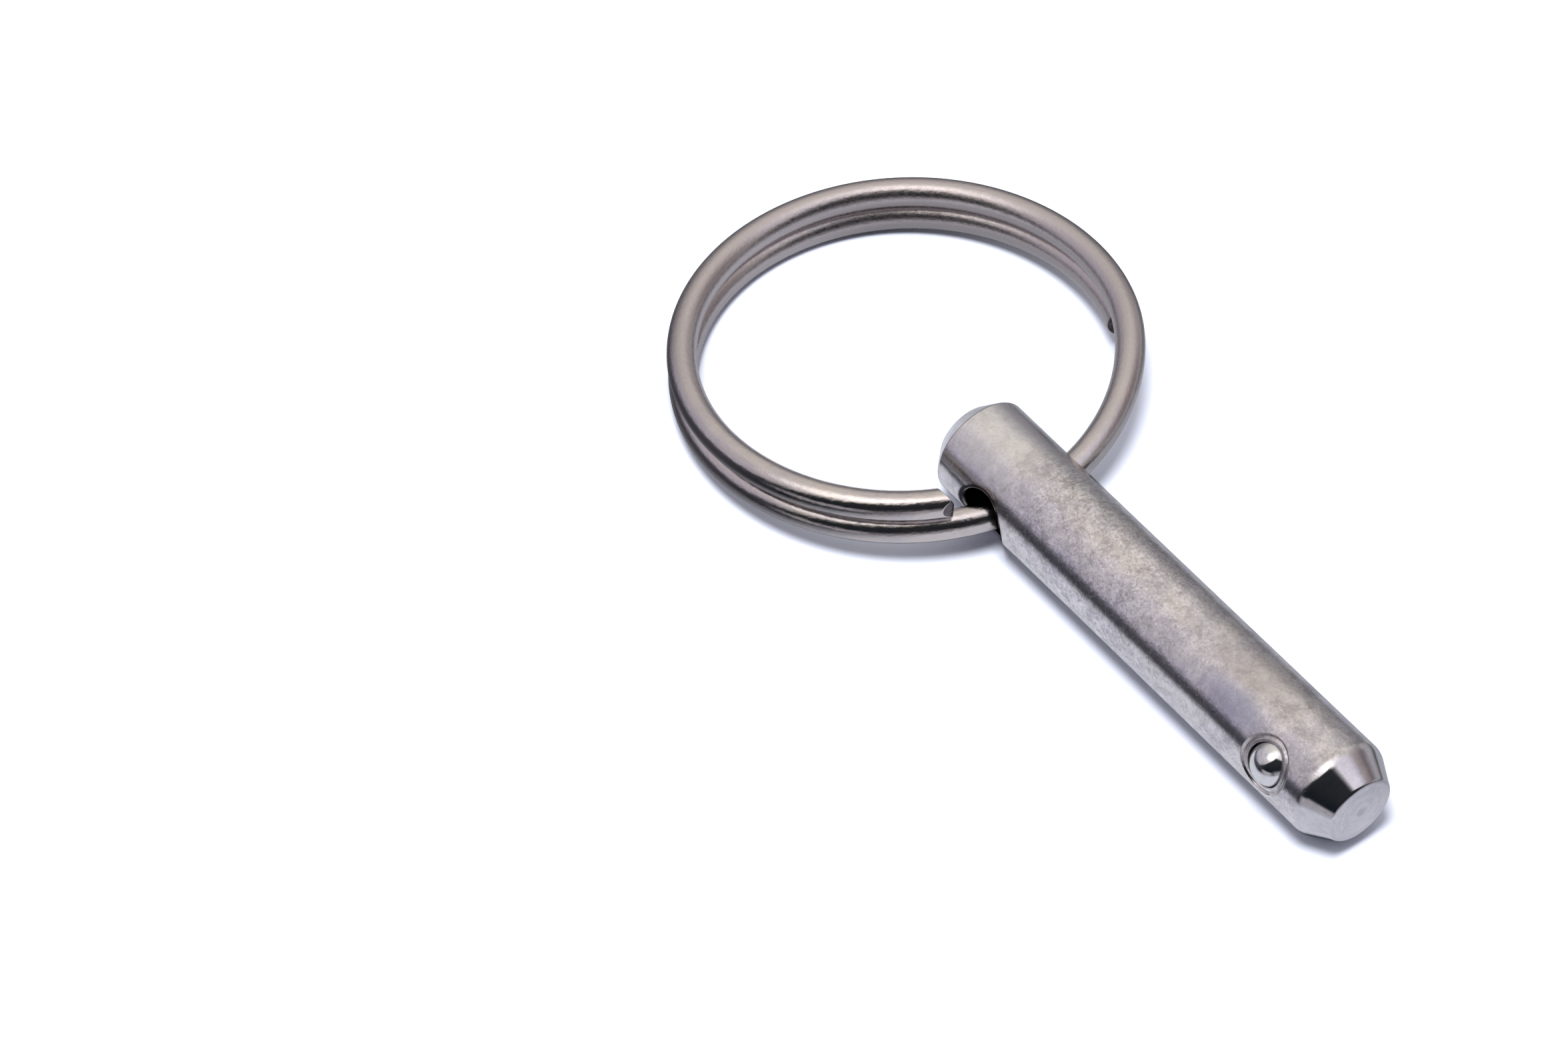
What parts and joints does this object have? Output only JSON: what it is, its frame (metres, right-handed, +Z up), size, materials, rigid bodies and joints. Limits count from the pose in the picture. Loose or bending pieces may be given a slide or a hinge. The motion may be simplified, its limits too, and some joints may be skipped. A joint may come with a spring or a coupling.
{
  "type": "quick release pin",
  "caption": "Round steel quick release pin with a sprung detent ball near the bevelled tip and a split ring threaded through a cross hole at the head end.",
  "frame": {"origin": "on the shank axis, midway along the plain grip between the cross hole and the detent ball", "axes": "+X along the shank from the head to the tip, +Z up from the surface the part lies on, +Y to the left of +X seen from above"},
  "size_m": [0.0562, 0.028, 0.0064],
  "materials": {
    "shank_steel": "zinc plated turned steel, fine scratches",
    "ball_steel": "polished bearing steel",
    "spring_steel": "drawn spring wire",
    "ring_steel": "satin zinc plated wire"
  },
  "bodies": {
    "pin": {"pin_body": "shank_steel", "detent_spring": "spring_steel"},
    "detent": {"detent_ball": "ball_steel"},
    "ring": {"split_ring": "ring_steel"}
  },
  "joints": [
    {"name": "ring_swing", "type": "hinge", "parent": "pin", "child": "ring", "pos_m": [-0.0126, 0, -0.00047], "axis": [0, 1, 0], "range_deg": [-165, 165]},
    {"name": "ball_press", "type": "slide", "parent": "pin", "child": "detent", "axis": [0, 0.9205, -0.3907], "range_m": [0, 0.00045], "stiffness_N_per_m": 500, "deforming": ["detent_spring"]}
  ]
}
